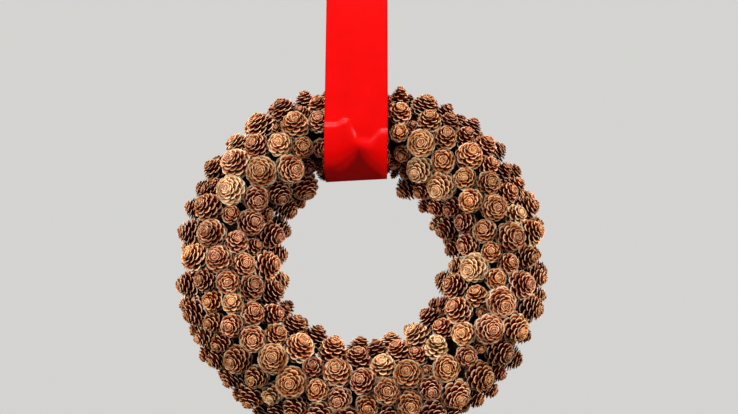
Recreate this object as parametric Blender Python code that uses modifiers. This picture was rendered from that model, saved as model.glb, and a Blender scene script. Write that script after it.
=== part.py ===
"""A wreath of small larch cones on a flat-backed foam ring, hung by one loop of satin ribbon.

The wreath hangs. The origin is the inside of the ribbon's top fold, where a hook or a rod holds it.
+Z is up, the front of the wreath faces -Y and +X is on its right. Sizes are in metres.
"""

import math

import bmesh
import bpy
import numpy as np
from mathutils import Matrix, Vector

# The foam ring: a round front and a flat back.
RING_CENTRE = Vector((0.005, 0.0, -0.296))
RING_RADIUS = 0.1245  # from the wreath's centre to the middle of its tube
FORM_RADIUS = 0.0235  # of the tube's round front
FORM_BACK = 0.021  # from the middle of the tube to its flat back
FORM_CHAMFER = 0.003
FORM_FACETS = 6  # across the round front

# The cones stand in rows across the tube. A row's cones share one bed of glue.
ROWS = 56
ROW_TURN = math.tau / ROWS
CONES = 240
GAP = 0.0003  # between pieces that touch
BED_THICKNESS = 0.0020
FOOT_HEIGHT = 0.0011  # of a cone's cut stalk above the foam
BED_END = 0.011  # how far behind the middle of the tube the glue reaches
CONE_SIDES = 6

# A cone's outline: (share of its length, share of its widest radius), from its foot to its tip.
CONE_OUTLINE = ((0.0, 0.13), (0.46, 1.0), (0.80, 0.80), (1.0, 0.30))
# Balls that fill a cone, as (share of its length, share of its widest radius).
BALLS = np.array(((0.14, 0.42), (0.48, 1.0), (0.70, 0.86)))

# The ribbon: one closed loop round the top of the wreath.
RIBBON_WIDTH = 0.060
RIBBON_THICKNESS = 0.0008
RIBBON_FOLD = 0.010  # inner radius where it lies over its hook
RIBBON_WRAP = 0.0475  # inner radius where it lies on the cones
UNDERSIDE = 0.0795  # from the wreath's centre up to the ribbon where it passes under the tube
UNDERSIDE_TILT = 0.055  # rise of that straight edge across the ribbon, per metre
FOLD_STEPS = 8
WRAP_STEPS = 16
RIBBON_COLUMNS = 6

# How the cones are settled side by side on the form.
SEED = 7
SETTLE_STEPS = 420
SETTLE_GAP = 0.0005
PUSH_SHARE = 0.8  # of an overlap, taken back in one step
LEAN_PULL = 0.05  # back to a cone's own lean in the first step, and less in each later one
SHORTENING = 0.2  # of a cone under the ribbon, as a share of what reaches above it
MOVING_ROWS = 0.7  # share of the steps in which a cone can pass to the next row
FITTING_STEPS = 90
GROWING_SHARE = 0.7  # of the fitting steps, in which a cone with room to spare grows wider
MOST_GROWTH = 0.0003  # in one step
MOST_CUT = 0.001
BALL_SPARE = 0.0008  # how far the balls bulge past a cone's own corners near its tip
NEARBY = 0.050  # cones whose middles are further apart than this can't touch
MEAN_RADIUS = 0.0118  # of a cone before its neighbours press it
RADIUS_SPREAD = 0.0015
RADIUS_LIMITS = (0.0080, 0.0142)
LENGTH_SHARES = (2.15, 2.50)  # of a cone's length to its radius
LONGEST_CONE = 0.0295
FOOT_SHARE = 0.30  # of a cone's radius, where it leaves the glue
LEAN_SPREAD = math.radians(17)
MOST_LEAN = math.radians(34)
MOST_SLOPE = math.radians(106)
BACK_LIMIT = 0.0180  # no cone reaches further behind the middle of the tube

# Small cones are pushed into the widest gaps that are left.
FILLER_LENGTHS = (0.0160, 0.0205)
FILLER_LEANS = ((0, 0), (0.25, 0), (-0.25, 0), (0, 0.25), (0, -0.25))
FILLER_RADII = (0.0047, 0.0090)
FILLER_PLACES = (2, 36)  # tried across a row and along it
FILLER_SLOPE = math.radians(98)
MOST_FILLERS = 40


def along_ring(turn):
    """The direction from the wreath's centre at an angle from +X towards +Z."""
    return np.stack([np.cos(turn), np.zeros_like(turn), np.sin(turn)], axis=-1)


def on_form(turn, slope):
    """Places for a cone's foot on the form, and the directions out of it there. A slope of 0 faces the
    front, a quarter turn the outside and minus a quarter turn the hole; past those the side is straight."""
    bend = np.clip(slope, -math.pi / 2, math.pi / 2)
    out = np.sin(bend)[:, None] * along_ring(turn)
    out[:, 1] = -np.cos(bend)
    foot = RING_RADIUS * along_ring(turn) + (FORM_RADIUS + FOOT_HEIGHT) * out
    foot[:, 1] += (np.abs(slope) - np.abs(bend)) * FORM_RADIUS
    return foot, out


def nearest_place(point):
    """The turn and the slope of the form's side nearest to each point."""
    turn = np.arctan2(point[:, 2], point[:, 0])
    aside = np.hypot(point[:, 0], point[:, 2]) - RING_RADIUS
    slope = np.arctan2(aside, -np.minimum(point[:, 1], 0))
    return turn, slope + np.sign(aside) * np.maximum(point[:, 1], 0) / FORM_RADIUS


def off_spine(point):
    """The distance and the direction from the tube's middle, which is a flat band towards the back."""
    outward = along_ring(np.arctan2(point[..., 2], point[..., 0]))
    aside = np.hypot(point[..., 0], point[..., 2]) - RING_RADIUS
    depth = np.minimum(point[..., 1], 0)
    distance = np.hypot(aside, depth)
    direction = outward * aside[..., None]
    direction[..., 1] = depth
    return distance, direction / np.maximum(distance, 1e-9)[..., None]


def row_of(point):
    """The row whose bed of glue lies below each point."""
    return np.floor(nearest_place(point)[0] / ROW_TURN).astype(int) % ROWS


def kept_in_row(turn, slope, row, radius):
    """Feet moved inside their own row's bed of glue."""
    slope = np.clip(slope, -MOST_SLOPE, MOST_SLOPE)
    from_centre = RING_RADIUS + FORM_RADIUS * np.sin(np.clip(slope, -math.pi / 2, math.pi / 2))
    spare = ROW_TURN / 2 - (FOOT_SHARE * radius + 2 * GAP) / from_centre
    middle = (row + 0.5) * ROW_TURN
    off = (turn - middle + math.pi) % math.tau - math.pi
    return middle + np.clip(off, -spare, spare), slope


def leaned(out, turn, lean):
    """Directions that lean from the way out of the form, by the tangents of two angles."""
    along = np.stack([-np.sin(turn), np.zeros_like(turn), np.cos(turn)], axis=-1)
    axis = out + lean[:, :1] * along + lean[:, 1:] * np.cross(out, along)
    return axis / np.linalg.norm(axis, axis=1)[:, None]


def lean_limited(axis, out):
    """Directions brought within the most that a cone leans from the way out of the form."""
    upright = np.maximum((axis * out).sum(axis=1), 0.05)[:, None]
    aside = axis - upright * out
    lean = np.linalg.norm(aside, axis=1)[:, None] / upright
    axis = upright * out + aside * np.minimum(1, math.tan(MOST_LEAN) / np.maximum(lean, 1e-9))
    return axis / np.linalg.norm(axis, axis=1)[:, None]


def balls_of(foot, tip, radius):
    """The centres and the radii of the balls that fill each cone."""
    share = BALLS[:, 0][None, :, None]
    return foot[:, None] + (tip - foot)[:, None] * share, radius[:, None] * BALLS[:, 1]


def neighbours(balls):
    """The pairs of cones that are near enough to touch."""
    middle = balls[:, 1]
    near = np.linalg.norm(middle[:, None] - middle[None], axis=-1) < NEARBY
    return np.nonzero(np.triu(near, 1))


def overlaps(balls, reach, first, second):
    """The vectors between the balls of two cones each, their lengths, and how far the balls overlap."""
    apart = balls[first][:, :, None] - balls[second][:, None]
    distance = np.maximum(np.linalg.norm(apart, axis=-1), 1e-6)
    wanted = reach[first][:, :, None] + reach[second][:, None] + SETTLE_GAP
    return apart, distance, np.maximum(wanted - distance, 0)


def pushed_apart(balls, reach, first, second):
    """How far each ball is moved by the neighbours that it overlaps."""
    apart, distance, deep = overlaps(balls, reach, first, second)
    push = apart * (deep / distance / 2)[..., None]
    move = np.zeros_like(balls)
    np.add.at(move, first, push.sum(axis=2))
    np.add.at(move, second, -push.sum(axis=1))
    return move


def ribbon_wrap(x):
    """The height of the tube's middle above the wreath's centre at a place across the ribbon, and how far
    below it the ribbon passes. Its underside is straight, so this isn't the same all across."""
    middle = np.sqrt(RING_RADIUS**2 - (x - RING_CENTRE.x) ** 2)
    return middle, middle - UNDERSIDE - UNDERSIDE_TILT * x


def ribbon_room(balls):
    """How far each ball's centre lies inside the oval in which the ribbon wraps the tube."""
    x = np.clip(balls[..., 0] + RING_CENTRE.x, -RIBBON_WIDTH / 2, RIBBON_WIDTH / 2)
    middle, below = ribbon_wrap(x)
    rise = balls[..., 2] - middle
    depth = np.where(rise < 0, balls[..., 1], np.minimum(balls[..., 1], 0))
    distance = np.maximum(np.hypot(rise, depth), 1e-6)
    oval = distance / np.hypot(rise / np.where(rise < 0, below, RIBBON_WRAP), depth / RIBBON_WRAP)
    return oval + BALL_SPARE - distance


def over_ribbon(balls, reach):
    """How far each ball reaches above the place where the ribbon wraps the tube."""
    beside = np.abs(balls[..., 0] + RING_CENTRE.x) < RIBBON_WIDTH / 2 + reach
    covered = beside & (balls[..., 2] > 0)
    return np.maximum(reach - ribbon_room(balls), 0) * covered


def held_off(balls, reach):
    """How far each ball is moved off the glue, off the ribbon and forward of the wreath's back."""
    distance, away = off_spine(balls)
    low = np.maximum(FORM_RADIUS + BED_THICKNESS + 3 * GAP + reach - distance, 0)
    low[:, 0] = 0
    move = away * (low - over_ribbon(balls, reach))[..., None]
    move[..., 1] -= np.maximum(balls[..., 1] + reach - BACK_LIMIT, 0)
    return move


def scattered(random):
    """Random turns and slopes, spread evenly over the area that the cones cover."""
    draw = random.random((CONES * 3, 3))
    slope = (draw[:, 1] * 2 - 1) * MOST_SLOPE
    middle = RING_RADIUS + (FORM_RADIUS + MEAN_RADIUS) * np.sin(slope)
    kept = np.flatnonzero(draw[:, 2] < middle / (RING_RADIUS + FORM_RADIUS + MEAN_RADIUS))[:CONES]
    return draw[kept, 0] * math.tau, slope[kept]


def most_reach(balls):
    """How far each ball may reach before it meets the ribbon or the wall behind the wreath."""
    beside = np.abs(balls[..., 0] + RING_CENTRE.x) < RIBBON_WIDTH / 2 + RADIUS_LIMITS[1]
    covered = beside & (balls[..., 2] > 0)
    return np.minimum(np.where(covered, ribbon_room(balls), 1.0), BACK_LIMIT - balls[..., 1])


def fitted(foot, tip, radius):
    """Radii brought up or down until each cone just clears its neighbours."""
    first, second = neighbours(balls_of(foot, tip, radius)[0])
    for step in range(FITTING_STEPS):
        balls, reach = balls_of(foot, tip, radius)
        apart = np.linalg.norm(balls[first][:, :, None] - balls[second][:, None], axis=-1)
        wanted = reach[first][:, :, None] + reach[second][:, None] + SETTLE_GAP
        clear = (apart - wanted).min(axis=(1, 2))
        room = (most_reach(balls) / BALLS[:, 1]).min(axis=1) - radius
        np.minimum.at(room, first, clear)
        np.minimum.at(room, second, clear)
        growth = MOST_GROWTH if step < FITTING_STEPS * GROWING_SHARE else 0
        radius = np.minimum(radius + np.clip(room / 2, -MOST_CUT, growth), RADIUS_LIMITS[1])
    return radius


def filler_places():
    """Feet, tips, lengths and rows of the small cones that are tried, at every place, length and lean."""
    across, along = FILLER_PLACES
    turns = (np.arange(ROWS * across) + 0.5) * ROW_TURN / across
    slopes = np.linspace(-FILLER_SLOPE, FILLER_SLOPE, along)
    turn, slope = (grid.ravel() for grid in np.meshgrid(turns, slopes))
    row = np.floor(turn / ROW_TURN).astype(int) % ROWS
    turn, slope = kept_in_row(turn, slope, row, FILLER_RADII[1])
    foot, out = on_form(turn, slope)
    tried = []
    for length in FILLER_LENGTHS:
        for lean in FILLER_LEANS:
            axis = leaned(out, turn, np.tile(lean, (len(turn), 1)))
            tried.append((foot, foot + axis * length, np.full(len(turn), length), row))
    return [np.concatenate(values) for values in zip(*tried)]


def width_beside(tried, balls, reach):
    """How wide a cone with its balls at each tried place can be beside the balls of another."""
    widest = np.full(len(tried), 1.0)
    for share in range(len(BALLS)):
        for ball, radius in zip(balls, reach):
            apart = np.linalg.norm(tried[:, share] - ball, axis=1)
            widest = np.minimum(widest, (apart - radius - SETTLE_GAP) / BALLS[share, 1])
    return widest


def gaps_filled(foot, tip, radius, row):
    """The cones, and a small cone in each of the widest gaps between them."""
    tried_foot, tried_tip, length, tried_row = filler_places()
    tried = balls_of(tried_foot, tried_tip, np.ones(len(length)))[0]
    width = np.minimum((most_reach(tried) / BALLS[:, 1]).min(axis=1), length / LENGTH_SHARES[0])
    width = np.minimum(width, FILLER_RADII[1])
    for balls, reach in zip(*balls_of(foot, tip, radius)):
        near = np.linalg.norm(tried[:, 1] - balls[1], axis=1) < NEARBY
        width[near] = np.minimum(width[near], width_beside(tried[near], balls, reach))
    added = []
    while width.max() > FILLER_RADII[0] and len(added) < MOST_FILLERS:
        best = int(np.argmax(width))
        added.append((tried_foot[best], tried_tip[best], width[best], tried_row[best]))
        width = np.minimum(width, width_beside(tried, tried[best], width[best] * BALLS[:, 1]))
    fillers = (np.array(values) for values in zip(*added))
    return [np.concatenate(pair) for pair in zip((foot, tip, radius, row), fillers)]


def settled_cones():
    """Feet, tips, widest radii and rows of the cones, in the ring's own frame.

    They start at random and push each other apart, the way cones are fitted side by side on a form. One
    that its neighbours press too thin is taken out."""
    random = np.random.default_rng(SEED)
    turn, slope = scattered(random)
    radius = np.clip(random.normal(MEAN_RADIUS, RADIUS_SPREAD, CONES), *RADIUS_LIMITS)
    length = np.minimum(radius * random.uniform(*LENGTH_SHARES, CONES), LONGEST_CONE)
    lean = np.tan(random.normal(0, LEAN_SPREAD, (CONES, 2)))
    row = np.floor(turn / ROW_TURN).astype(int) % ROWS
    turn, slope = kept_in_row(turn, slope, row, radius)
    foot, out = on_form(turn, slope)
    tip = foot + leaned(out, turn, lean) * length[:, None]
    share = BALLS[:, 0][None, :, None]
    for step in range(SETTLE_STEPS):
        balls, reach = balls_of(foot, tip, radius)
        if step % 10 == 0:
            first, second = neighbours(balls)
            if step < SETTLE_STEPS * MOVING_ROWS:
                row = row_of(balls[:, 1])
        move = pushed_apart(balls, reach, first, second) + held_off(balls, reach)
        length = length - SHORTENING * over_ribbon(balls, reach).max(axis=1)
        radius = np.minimum(radius, length / LENGTH_SHARES[0])
        foot = foot + (move * (1 - share)).sum(axis=1) * PUSH_SHARE
        tip = tip + (move * share).sum(axis=1) * PUSH_SHARE
        turn, slope = kept_in_row(*nearest_place(foot), row, radius)
        foot, out = on_form(turn, slope)
        axis = (tip - foot) / length[:, None]
        pull = LEAN_PULL * (1 - step / SETTLE_STEPS)
        axis += pull * (leaned(out, turn, lean) - axis)
        tip = foot + lean_limited(axis, out) * length[:, None]
    radius = fitted(foot, tip, radius)
    wide = radius > FILLER_RADII[0]
    foot, tip, radius, row = (values[wide] for values in (foot, tip, radius, row))
    return gaps_filled(foot, tip, fitted(foot, tip, radius), row)


def clear_scene():
    for obj in list(bpy.data.objects):
        bpy.data.objects.remove(obj, do_unlink=True)


def new_collection(name, parent=None):
    made = bpy.data.collections.new(name)
    (parent or bpy.context.scene.collection).children.link(made)
    return made


def new_material(name, colour, roughness):
    material = bpy.data.materials.new(name)
    material.use_nodes = True
    material.diffuse_color = (*colour, 1)
    shader = material.node_tree.nodes["Principled BSDF"]
    shader.inputs["Base Color"].default_value = (*colour, 1)
    shader.inputs["Roughness"].default_value = roughness
    return material


def new_object(name, mesh, collection, material, at=(0, 0, 0)):
    obj = bpy.data.objects.new(name, mesh)
    obj.location = at
    collection.objects.link(obj)
    mesh.materials.append(material)
    return obj


def outline_mesh(name, points):
    """A closed outline, ready to be turned or drawn out."""
    mesh = bpy.data.meshes.new(name)
    count = len(points)
    mesh.from_pydata(points, [(i, (i + 1) % count) for i in range(count)], [])
    return mesh


def front_arc(radius):
    """The form's round front at a radius from the middle of its tube, as (from the centre, depth)."""
    angles = [math.pi * (i / FORM_FACETS - 0.5) for i in range(FORM_FACETS + 1)]
    return [(RING_RADIUS + radius * math.sin(a), -radius * math.cos(a)) for a in angles]


def ring_form(collection, material):
    """The foam ring: a U-shaped outline turned round the wreath's own axis."""
    back = [
        (RING_RADIUS + FORM_RADIUS, FORM_BACK - FORM_CHAMFER),
        (RING_RADIUS + FORM_RADIUS - FORM_CHAMFER, FORM_BACK),
        (RING_RADIUS - FORM_RADIUS + FORM_CHAMFER, FORM_BACK),
        (RING_RADIUS - FORM_RADIUS, FORM_BACK - FORM_CHAMFER),
    ]
    outline = outline_mesh("ring_form", [(x, y, 0) for x, y in front_arc(FORM_RADIUS) + back])
    form = new_object("ring_form", outline, collection, material, RING_CENTRE)
    turned = form.modifiers.new("Turned", "SCREW")
    turned.axis = "Y"
    turned.steps = ROWS
    turned.render_steps = ROWS
    turned.use_merge_vertices = True
    turned.merge_threshold = 1e-5
    turned.use_normal_flip = True
    return form


def glue_bed(name, row, collection, material):
    """One row's bed of glue: the outline of a thin layer over the foam, turned by one row's angle."""
    inner = front_arc(FORM_RADIUS + GAP)
    outer = front_arc(FORM_RADIUS + GAP + BED_THICKNESS)
    inner = [(inner[0][0], BED_END), *inner, (inner[-1][0], BED_END)]
    outer = [(outer[0][0], BED_END), *outer, (outer[-1][0], BED_END)]
    bm = bmesh.new()
    outline = [bm.verts.new((x, y, 0)) for x, y in inner + outer[::-1]]
    face = bm.faces.new(outline)
    edge_turn = GAP / (RING_RADIUS - FORM_RADIUS)
    bmesh.ops.rotate(
        bm, verts=bm.verts, matrix=Matrix.Rotation(-row * ROW_TURN - edge_turn, 3, "Y")
    )
    bmesh.ops.spin(
        bm, geom=[face], axis=(0, -1, 0), angle=ROW_TURN - 2 * edge_turn, steps=1, use_duplicate=False
    )
    bmesh.ops.recalc_face_normals(bm, faces=bm.faces)
    mesh = bpy.data.meshes.new(name)
    bm.to_mesh(mesh)
    bm.free()
    return new_object(name, mesh, collection, material, RING_CENTRE)


def cone_blank(collection, material):
    """The solid outline of a cone of unit length and unit radius, turned round its own axis."""
    points = [(0, 0, 0)] + [(r, 0, z) for z, r in CONE_OUTLINE] + [(0, 0, 1)]
    mesh = bpy.data.meshes.new("cone_blank")
    mesh.from_pydata(points, [(i, i + 1) for i in range(len(points) - 1)], [])
    blank = new_object("cone_blank", mesh, collection, material)
    turned = blank.modifiers.new("Turned", "SCREW")
    turned.steps = CONE_SIDES
    turned.render_steps = CONE_SIDES
    turned.use_merge_vertices = True
    turned.merge_threshold = 1e-5
    turned.use_normal_flip = True
    graph = bpy.context.evaluated_depsgraph_get()
    solid = bpy.data.meshes.new_from_object(blank.evaluated_get(graph))
    bpy.data.objects.remove(blank, do_unlink=True)
    return solid


def stand_cone(name, blank, foot, tip, radius, collection):
    """A cone from its foot to its tip, as a helper that its row's Boolean reads."""
    axis = Vector(tip) - Vector(foot)
    cone = bpy.data.objects.new(name, blank)
    turned = axis.to_track_quat("Z", "Y").to_matrix().to_4x4()
    size = Matrix.Diagonal((radius, radius, axis.length, 1))
    cone.matrix_world = Matrix.Translation(RING_CENTRE + Vector(foot)) @ turned @ size
    cone.hide_render = True
    cone.display_type = "WIRE"
    collection.objects.link(cone)


def cone_rows(collection, helpers, material):
    """One object for each row: the bed of glue with its cones standing in it."""
    blank = cone_blank(helpers, material)
    feet, tips, radii, rows = settled_cones()
    for row in range(ROWS):
        name = f"cone_row_{row + 1:02d}"
        bed = glue_bed(name, row, collection, material)
        standing = new_collection(f"{name}_cones", helpers)
        for i in np.flatnonzero(rows == row):
            stand_cone(f"cone_{i + 1:03d}", blank, feet[i], tips[i], radii[i], standing)
        joined = bed.modifiers.new("Cones", "BOOLEAN")
        joined.operation = "UNION"
        joined.operand_type = "COLLECTION"
        joined.collection = standing


def arc_steps(start, middle, end, steps):
    """Angles from start to end that include the middle one, with half the steps on each side of it."""
    first = [start + (middle - start) * i / steps for i in range(steps)]
    return first + [middle + (end - middle) * i / steps for i in range(steps + 1)]


def ribbon_path(x):
    """The inside of the ribbon's loop at one place across its width: from the fold's back over the top
    to the front, round the tube to its back, where it follows the arc of the ring."""

    def height(radius):
        return RING_CENTRE.z + math.sqrt(radius**2 - (x - RING_CENTRE.x) ** 2)

    run = -RIBBON_FOLD - RING_CENTRE.z - RING_RADIUS
    front_lean = math.asin((RIBBON_WRAP - RIBBON_FOLD) / run)
    corner = FORM_RADIUS - FORM_CHAMFER
    back_depth = FORM_BACK + GAP
    back_lean = math.atan2(back_depth - RIBBON_FOLD, run - corner)
    path = []
    for angle in arc_steps(back_lean, math.pi / 2, math.pi - front_lean, FOLD_STEPS // 2):
        path.append((x, RIBBON_FOLD * math.cos(angle), RIBBON_FOLD * (math.sin(angle) - 1)))
    last = -math.pi / 2 - math.atan2(FORM_BACK, RIBBON_WRAP)
    middle, below = ribbon_wrap(x)
    for i in range(WRAP_STEPS + 1):
        angle = front_lean + (last - front_lean) * i / WRAP_STEPS
        reach = RIBBON_WRAP if angle > 0 else float(below)
        rise = RING_CENTRE.z + float(middle) + reach * math.sin(angle)
        path.append((x, -RIBBON_WRAP * math.cos(angle), rise))
    path.append((x, back_depth, height(RING_RADIUS - corner)))
    path.append((x, back_depth, height(RING_RADIUS + corner)))
    return path


def ribbon(collection, material):
    """The ribbon: loops side by side across its width, bridged, with the satin's thickness outside them."""
    bm = bmesh.new()
    loops = []
    for column in range(RIBBON_COLUMNS + 1):
        x = RIBBON_WIDTH * (column / RIBBON_COLUMNS - 0.5)
        verts = [bm.verts.new(point) for point in ribbon_path(x)]
        loops.append([bm.edges.new((verts[i - 1], verts[i])) for i in range(len(verts))])
    for near, far in zip(loops, loops[1:]):
        bmesh.ops.bridge_loops(bm, edges=near + far)
    bmesh.ops.recalc_face_normals(bm, faces=bm.faces)
    mesh = bpy.data.meshes.new("ribbon")
    bm.to_mesh(mesh)
    bm.free()
    loop = new_object("ribbon", mesh, collection, material)
    thick = loop.modifiers.new("Satin", "SOLIDIFY")
    thick.thickness = RIBBON_THICKNESS
    thick.offset = 1
    thick.use_even_offset = True
    return loop


def main():
    clear_scene()
    wreath = new_collection("pinecone_wreath")
    helpers = new_collection("pinecone_wreath_helpers")
    foam = new_material("wrapped_foam", (0.10, 0.055, 0.030), 0.85)
    cones = new_material("cone_scales", (0.45, 0.26, 0.12), 0.75)
    satin = new_material("red_satin", (0.80, 0.015, 0.015), 0.35)
    ring_form(wreath, foam)
    cone_rows(wreath, helpers, cones)
    ribbon(wreath, satin)


main()
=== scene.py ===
"""The looks of a wreath of small larch cones on a wrapped foam ring, hung by a loop of red satin ribbon."""

import math

import bpy
import numpy as np
from mathutils import Matrix, Vector


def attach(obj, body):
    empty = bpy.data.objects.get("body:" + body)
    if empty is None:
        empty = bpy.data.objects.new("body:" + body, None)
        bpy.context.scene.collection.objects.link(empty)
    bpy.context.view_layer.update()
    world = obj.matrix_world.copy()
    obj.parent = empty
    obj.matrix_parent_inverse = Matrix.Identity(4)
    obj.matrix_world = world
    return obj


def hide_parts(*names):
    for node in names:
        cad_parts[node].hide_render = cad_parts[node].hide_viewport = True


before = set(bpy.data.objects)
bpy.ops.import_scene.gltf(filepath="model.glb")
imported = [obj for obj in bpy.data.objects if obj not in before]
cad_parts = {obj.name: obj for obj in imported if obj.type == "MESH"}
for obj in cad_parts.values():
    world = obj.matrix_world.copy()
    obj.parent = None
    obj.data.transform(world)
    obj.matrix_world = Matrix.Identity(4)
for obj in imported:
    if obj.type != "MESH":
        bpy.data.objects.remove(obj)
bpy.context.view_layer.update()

# The wreath's build, in metres, as its solids have it.
RING_CENTRE = Vector((0.005, 0.0, -0.296))
RING_RADIUS = 0.1245  # from the wreath's centre to the middle of its tube
FORM_RADIUS = 0.0235  # of the tube's round front
FORM_BACK = 0.021  # from the middle of the tube to its flat back
FORM_CHAMFER = 0.003

# The cones stand in rows across the tube. A row's cones share one bed of glue.
ROWS = 56
ROW_TURN = math.tau / ROWS
CONES = 240
GAP = 0.0003  # between pieces that touch
BED_THICKNESS = 0.0020
FOOT_HEIGHT = 0.0011  # of a cone's cut stalk above the foam

# Balls that fill a cone, as (share of its length, share of its widest radius).
BALLS = np.array(((0.14, 0.42), (0.48, 1.0), (0.70, 0.86)))

# The ribbon: one closed loop round the top of the wreath.
RIBBON_WIDTH = 0.060
RIBBON_THICKNESS = 0.0008
RIBBON_FOLD = 0.010  # inner radius where it lies over its hook
RIBBON_WRAP = 0.0475  # inner radius where it lies on the cones
UNDERSIDE = 0.0795  # from the wreath's centre up to the ribbon where it passes under the tube
UNDERSIDE_TILT = 0.055  # rise of that straight edge across the ribbon, per metre

# How the cones are settled side by side on the form.
SEED = 7
SETTLE_STEPS = 420
SETTLE_GAP = 0.0005
COUNTED_EVERY = 10  # steps, between looks at which cones are near each other and in which rows they are
PUSH_SHARE = 0.8  # of an overlap, taken back in one step
LEAN_PULL = 0.05  # back to a cone's own lean in the first step, and less in each later one
SHORTENING = 0.2  # of a cone under the ribbon, as a share of what reaches above it
MOVING_ROWS = 0.7  # share of the steps in which a cone can pass to the next row
FITTING_STEPS = 90
GROWING_SHARE = 0.7  # of the fitting steps, in which a cone with room to spare grows wider
MOST_GROWTH = 0.0003  # in one step
MOST_CUT = 0.001
BALL_SPARE = 0.0008  # how far the balls bulge past a cone's own corners near its tip
NEARBY = 0.050  # cones whose middles are further apart than this can't touch
MEAN_RADIUS = 0.0118  # of a cone before its neighbours press it
RADIUS_SPREAD = 0.0015
RADIUS_LIMITS = (0.0080, 0.0142)
LENGTH_SHARES = (2.15, 2.50)  # of a cone's length to its radius
LONGEST_CONE = 0.0295
FOOT_SHARE = 0.30  # of a cone's radius, where it leaves the glue
LEAN_SPREAD = math.radians(17)
MOST_LEAN = math.radians(34)
MOST_SLOPE = math.radians(106)
BACK_LIMIT = 0.0180  # no cone reaches further behind the middle of the tube

# Small cones are pushed into the widest gaps that are left.
FILLER_LENGTHS = (0.0160, 0.0205)
FILLER_LEANS = ((0, 0), (0.25, 0), (-0.25, 0), (0, 0.25), (0, -0.25))
FILLER_RADII = (0.0047, 0.0090)
FILLER_PLACES = (2, 36)  # tried across a row and along it
FILLER_SLOPE = math.radians(98)
MOST_FILLERS = 40


def along_ring(turn):
    """The direction from the wreath's centre at an angle from +X towards +Z."""
    return np.stack([np.cos(turn), np.zeros_like(turn), np.sin(turn)], axis=-1)


def on_form(turn, slope):
    """Places for a cone's foot on the form, and the directions out of it there. A slope of 0 faces the
    front, a quarter turn the outside and minus a quarter turn the hole; past those the side is straight."""
    bend = np.clip(slope, -math.pi / 2, math.pi / 2)
    out = np.sin(bend)[:, None] * along_ring(turn)
    out[:, 1] = -np.cos(bend)
    foot = RING_RADIUS * along_ring(turn) + (FORM_RADIUS + FOOT_HEIGHT) * out
    foot[:, 1] += (np.abs(slope) - np.abs(bend)) * FORM_RADIUS
    return foot, out


def nearest_place(point):
    """The turn and the slope of the form's side nearest to each point."""
    turn = np.arctan2(point[:, 2], point[:, 0])
    aside = np.hypot(point[:, 0], point[:, 2]) - RING_RADIUS
    slope = np.arctan2(aside, -np.minimum(point[:, 1], 0))
    return turn, slope + np.sign(aside) * np.maximum(point[:, 1], 0) / FORM_RADIUS


def off_spine(point):
    """The distance and the direction from the tube's middle, which is a flat band towards the back."""
    outward = along_ring(np.arctan2(point[..., 2], point[..., 0]))
    aside = np.hypot(point[..., 0], point[..., 2]) - RING_RADIUS
    depth = np.minimum(point[..., 1], 0)
    distance = np.hypot(aside, depth)
    direction = outward * aside[..., None]
    direction[..., 1] = depth
    return distance, direction / np.maximum(distance, 1e-9)[..., None]


def row_at(turn):
    """The row whose bed of glue lies at each turn."""
    return np.floor(turn / ROW_TURN).astype(int) % ROWS


def kept_in_row(turn, slope, row, radius):
    """Feet moved inside their own row's bed of glue."""
    slope = np.clip(slope, -MOST_SLOPE, MOST_SLOPE)
    from_centre = RING_RADIUS + FORM_RADIUS * np.sin(np.clip(slope, -math.pi / 2, math.pi / 2))
    spare = ROW_TURN / 2 - (FOOT_SHARE * radius + 2 * GAP) / from_centre
    middle = (row + 0.5) * ROW_TURN
    off = (turn - middle + math.pi) % math.tau - math.pi
    return middle + np.clip(off, -spare, spare), slope


def leaned(out, turn, lean):
    """Directions that lean from the way out of the form, by the tangents of two angles."""
    along = np.stack([-np.sin(turn), np.zeros_like(turn), np.cos(turn)], axis=-1)
    axis = out + lean[:, :1] * along + lean[:, 1:] * np.cross(out, along)
    return axis / np.linalg.norm(axis, axis=1)[:, None]


def lean_limited(axis, out):
    """Directions brought within the most that a cone leans from the way out of the form."""
    upright = np.maximum((axis * out).sum(axis=1), 0.05)[:, None]
    aside = axis - upright * out
    lean = np.linalg.norm(aside, axis=1)[:, None] / upright
    axis = upright * out + aside * np.minimum(1, math.tan(MOST_LEAN) / np.maximum(lean, 1e-9))
    return axis / np.linalg.norm(axis, axis=1)[:, None]


def balls_of(foot, tip, radius):
    """The centres and the radii of the balls that fill each cone."""
    share = BALLS[:, 0][None, :, None]
    return foot[:, None] + (tip - foot)[:, None] * share, radius[:, None] * BALLS[:, 1]


def neighbours(balls):
    """The pairs of cones that are near enough to touch."""
    middle = balls[:, 1]
    near = np.linalg.norm(middle[:, None] - middle[None], axis=-1) < NEARBY
    return np.nonzero(np.triu(near, 1))


def ways_between(balls, reach, first, second):
    """The ways between the balls of each pair of cones, and how long they are when the two just clear."""
    apart = balls[first][:, :, None] - balls[second][:, None]
    return apart, reach[first][:, :, None] + reach[second][:, None] + SETTLE_GAP


def pushed_apart(balls, reach, first, second):
    """How far each ball is moved by the neighbours that it overlaps."""
    apart, wanted = ways_between(balls, reach, first, second)
    distance = np.maximum(np.linalg.norm(apart, axis=-1), 1e-6)
    push = apart * (np.maximum(wanted - distance, 0) / distance / 2)[..., None]
    move = np.zeros_like(balls)
    np.add.at(move, first, push.sum(axis=2))
    np.add.at(move, second, -push.sum(axis=1))
    return move


def ribbon_wrap(x):
    """The height of the tube's middle above the wreath's centre at a place across the ribbon, and how far
    below it the ribbon passes. Its underside is straight, so this isn't the same all across."""
    middle = np.sqrt(RING_RADIUS**2 - (x - RING_CENTRE.x) ** 2)
    return middle, middle - UNDERSIDE - UNDERSIDE_TILT * x


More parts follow.
